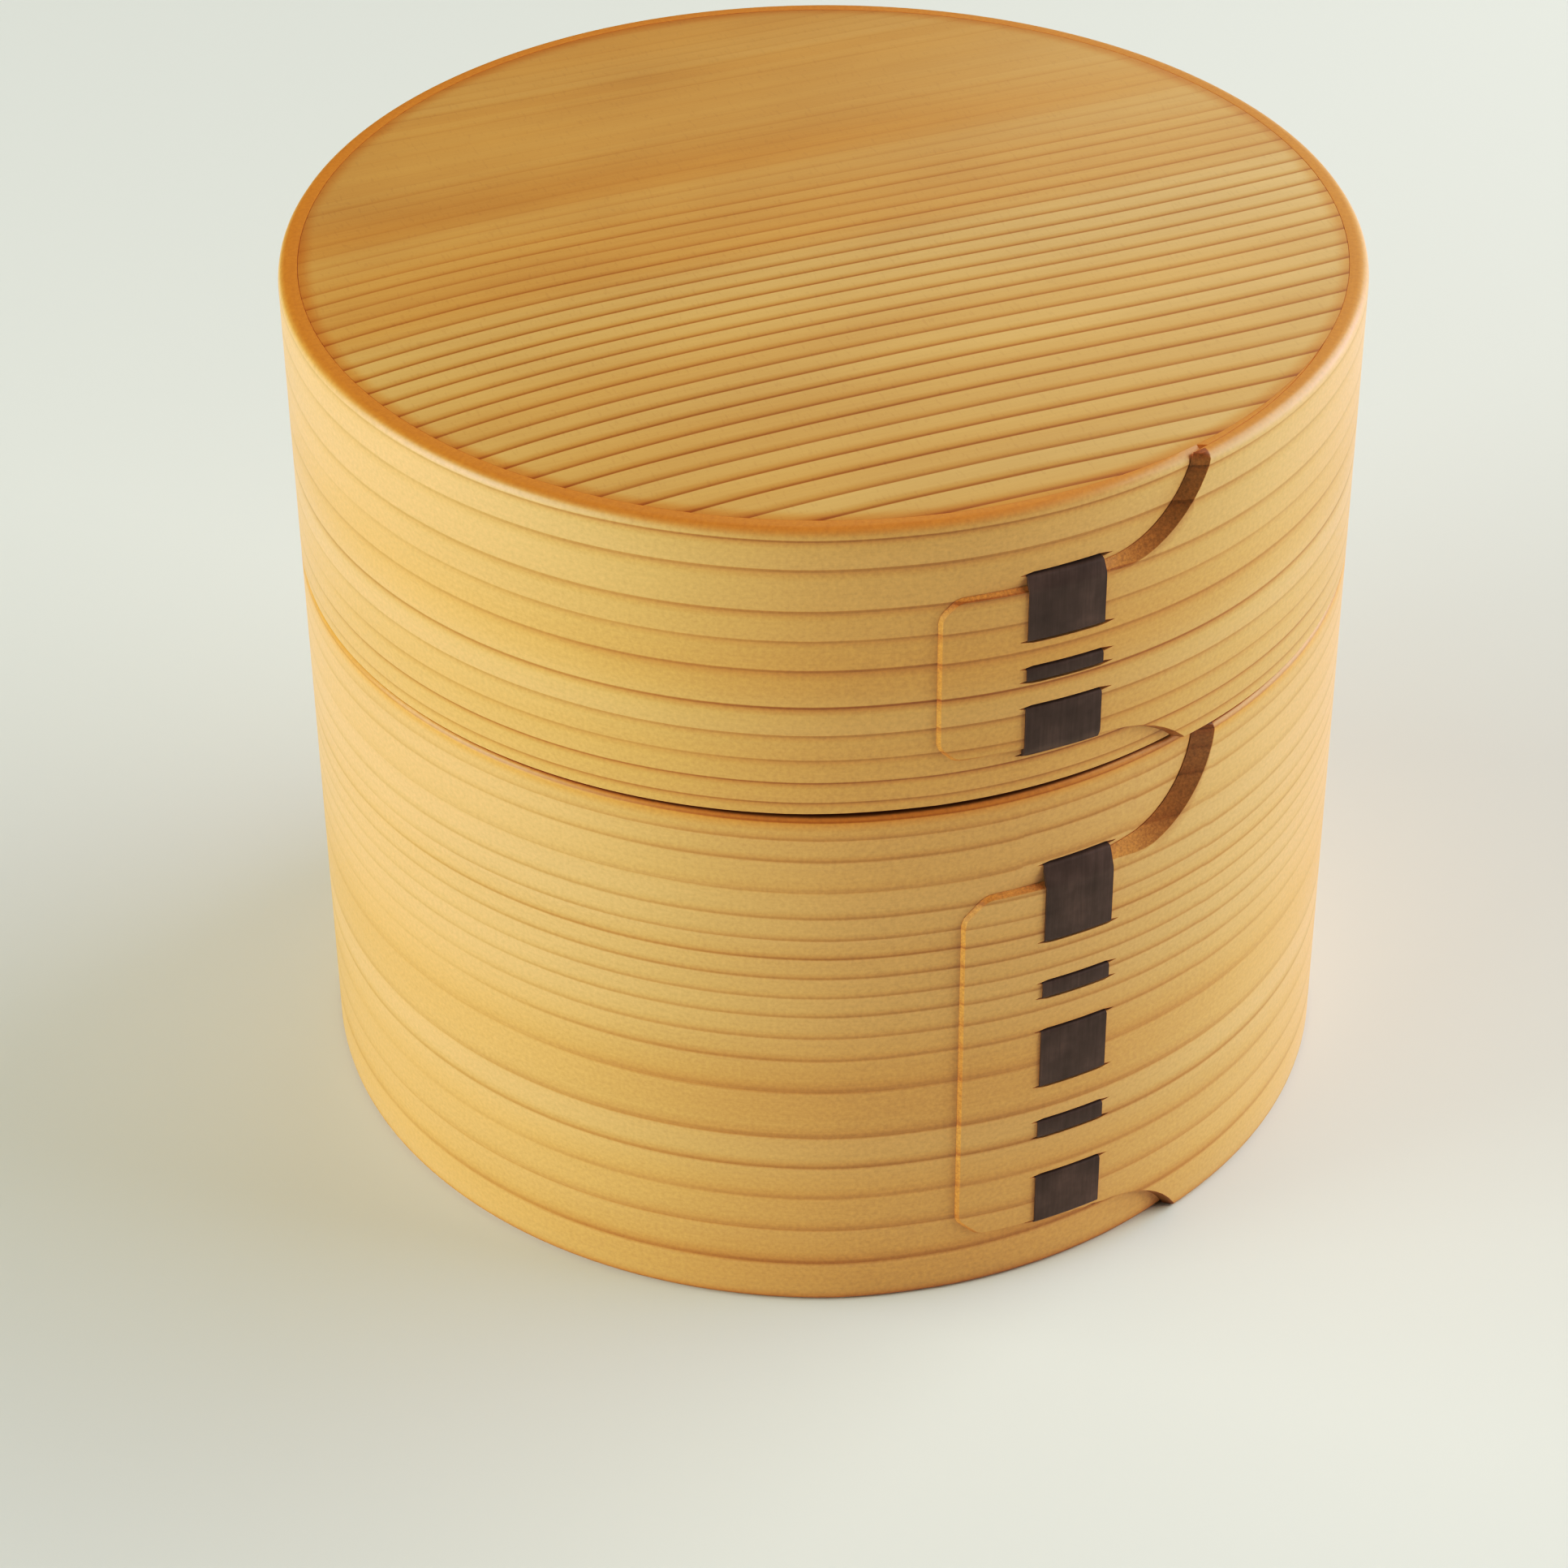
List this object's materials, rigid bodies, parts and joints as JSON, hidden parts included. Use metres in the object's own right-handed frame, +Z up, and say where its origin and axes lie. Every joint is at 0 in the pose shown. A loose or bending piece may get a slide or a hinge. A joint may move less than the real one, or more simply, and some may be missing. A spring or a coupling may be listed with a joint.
{
  "type": "lidded bentwood box",
  "caption": "Round box of bent cedar with a flush lift-off lid, both walls lapped and laced with dark bark strip.",
  "frame": {"origin": "centre of the round foot, on the surface that the box stands on", "axes": "+Z up along the box's axis, -Y towards the front, where the laps are laced a little right of centre"},
  "size_m": [0.11, 0.11, 0.0945],
  "materials": {
    "cedar_wall": "satin lacquer",
    "cedar_board": "satin lacquer",
    "cherry_bark": "satin, smooth bark"
  },
  "bodies": {
    "box": {"box_hoop": "cedar_wall", "box_base": "cedar_board", "box_collar": "cedar_wall", "box_lacing": "cherry_bark"},
    "lid": {"lid_hoop": "cedar_wall", "lid_board": "cedar_board", "lid_lacing": "cherry_bark"}
  },
  "joints": [
    {"name": "lid_lift", "type": "slide", "parent": "box", "child": "lid", "axis": [0, 0, 1], "range_m": [0, 0.15]}
  ]
}
